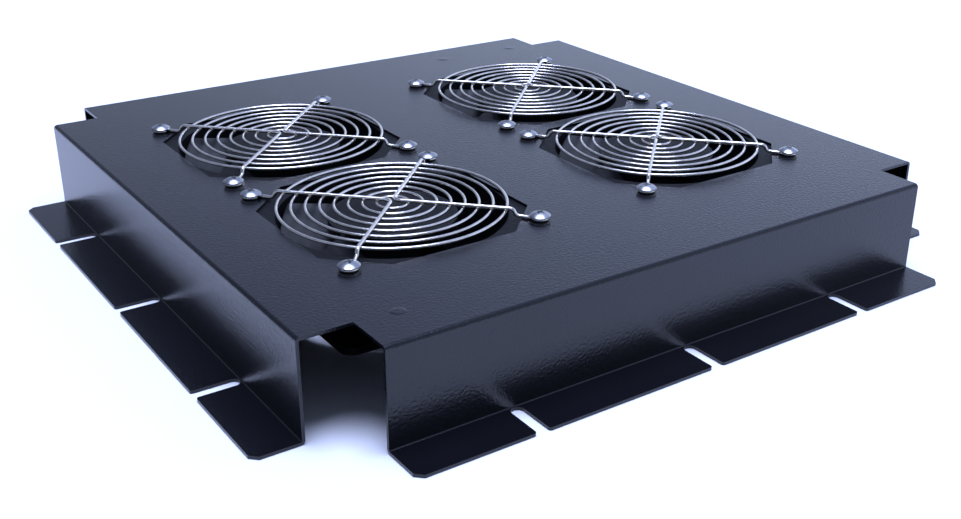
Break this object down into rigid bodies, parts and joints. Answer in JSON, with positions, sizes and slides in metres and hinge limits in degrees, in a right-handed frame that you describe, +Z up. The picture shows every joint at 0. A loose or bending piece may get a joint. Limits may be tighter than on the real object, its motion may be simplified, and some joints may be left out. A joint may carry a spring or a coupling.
{
  "type": "rack fan tray",
  "caption": "Roof fan tray for a server cabinet: a folded steel pan with outward slotted flanges that carries square axial mains fans under round wire finger guards.",
  "frame": {"origin": "middle of the plane that the undersides of the four flanges lie in", "axes": "+Z up, the way the air leaves; +Y to the back, +X to the right seen from the front"},
  "size_m": [0.42, 0.42, 0.0551],
  "materials": {
    "pan_powder_coat": "black powder coat",
    "frame_black": "black paint on die-cast aluminium",
    "impeller_black": "moulded black plastic",
    "bright_wire": "bright nickel-chrome plated steel wire",
    "zinc_steel": "zinc-plated steel",
    "bearing_bronze": "sintered bronze",
    "lamination_steel": "stacked silicon-steel laminations",
    "winding_enamel": "enamelled copper wire",
    "rotor_iron": "bare rotor iron with cast bars",
    "terminal_brass": "tinned brass",
    "block_plastic": "moulded insulating plastic"
  },
  "bodies": {
    "tray": {"tray_pan": "pan_powder_coat", "fan_frame_front_left": "frame_black", "spade_terminals_front_left": "terminal_brass", "sleeve_bearing_front_left": "bearing_bronze", "stator_stack_front_left": "lamination_steel", "windings_front_left": "winding_enamel", "finger_guard_front_left": "bright_wire", "guard_screws_front_left": "zinc_steel", "guard_nuts_front_left": "zinc_steel", "fan_frame_front_right": "frame_black", "spade_terminals_front_right": "terminal_brass", "sleeve_bearing_front_right": "bearing_bronze", "stator_stack_front_right": "lamination_steel", "windings_front_right": "winding_enamel", "finger_guard_front_right": "bright_wire", "guard_screws_front_right": "zinc_steel", "guard_nuts_front_right": "zinc_steel", "fan_frame_back_left": "frame_black", "spade_terminals_back_left": "terminal_brass", "sleeve_bearing_back_left": "bearing_bronze", "stator_stack_back_left": "lamination_steel", "windings_back_left": "winding_enamel", "finger_guard_back_left": "bright_wire", "guard_screws_back_left": "zinc_steel", "guard_nuts_back_left": "zinc_steel", "fan_frame_back_right": "frame_black", "spade_terminals_back_right": "terminal_brass", "sleeve_bearing_back_right": "bearing_bronze", "stator_stack_back_right": "lamination_steel", "windings_back_right": "winding_enamel", "finger_guard_back_right": "bright_wire", "guard_screws_back_right": "zinc_steel", "guard_nuts_back_right": "zinc_steel", "earth_stud": "zinc_steel", "earth_washer": "zinc_steel", "earth_nut": "zinc_steel", "terminal_block_studs": "zinc_steel", "terminal_block": "block_plastic", "terminal_block_washers": "zinc_steel", "terminal_block_nuts": "zinc_steel"},
    "rotor_front_left": {"impeller_front_left": "impeller_black", "rotor_cage_front_left": "rotor_iron", "rotor_shaft_front_left": "zinc_steel"},
    "rotor_front_right": {"impeller_front_right": "impeller_black", "rotor_cage_front_right": "rotor_iron", "rotor_shaft_front_right": "zinc_steel"},
    "rotor_back_left": {"impeller_back_left": "impeller_black", "rotor_cage_back_left": "rotor_iron", "rotor_shaft_back_left": "zinc_steel"},
    "rotor_back_right": {"impeller_back_right": "impeller_black", "rotor_cage_back_right": "rotor_iron", "rotor_shaft_back_right": "zinc_steel"}
  },
  "joints": [
    {"name": "fan_spin_front_left", "type": "hinge", "parent": "tray", "child": "rotor_front_left", "pos_m": [-0.0865, -0.06325, 0.03], "axis": [0, 0, 1], "continuous": true},
    {"name": "fan_spin_front_right", "type": "hinge", "parent": "tray", "child": "rotor_front_right", "pos_m": [0.0865, -0.06325, 0.03], "axis": [0, 0, 1], "continuous": true},
    {"name": "fan_spin_back_left", "type": "hinge", "parent": "tray", "child": "rotor_back_left", "pos_m": [-0.0865, 0.06325, 0.03], "axis": [0, 0, 1], "continuous": true},
    {"name": "fan_spin_back_right", "type": "hinge", "parent": "tray", "child": "rotor_back_right", "pos_m": [0.0865, 0.06325, 0.03], "axis": [0, 0, 1], "continuous": true}
  ]
}
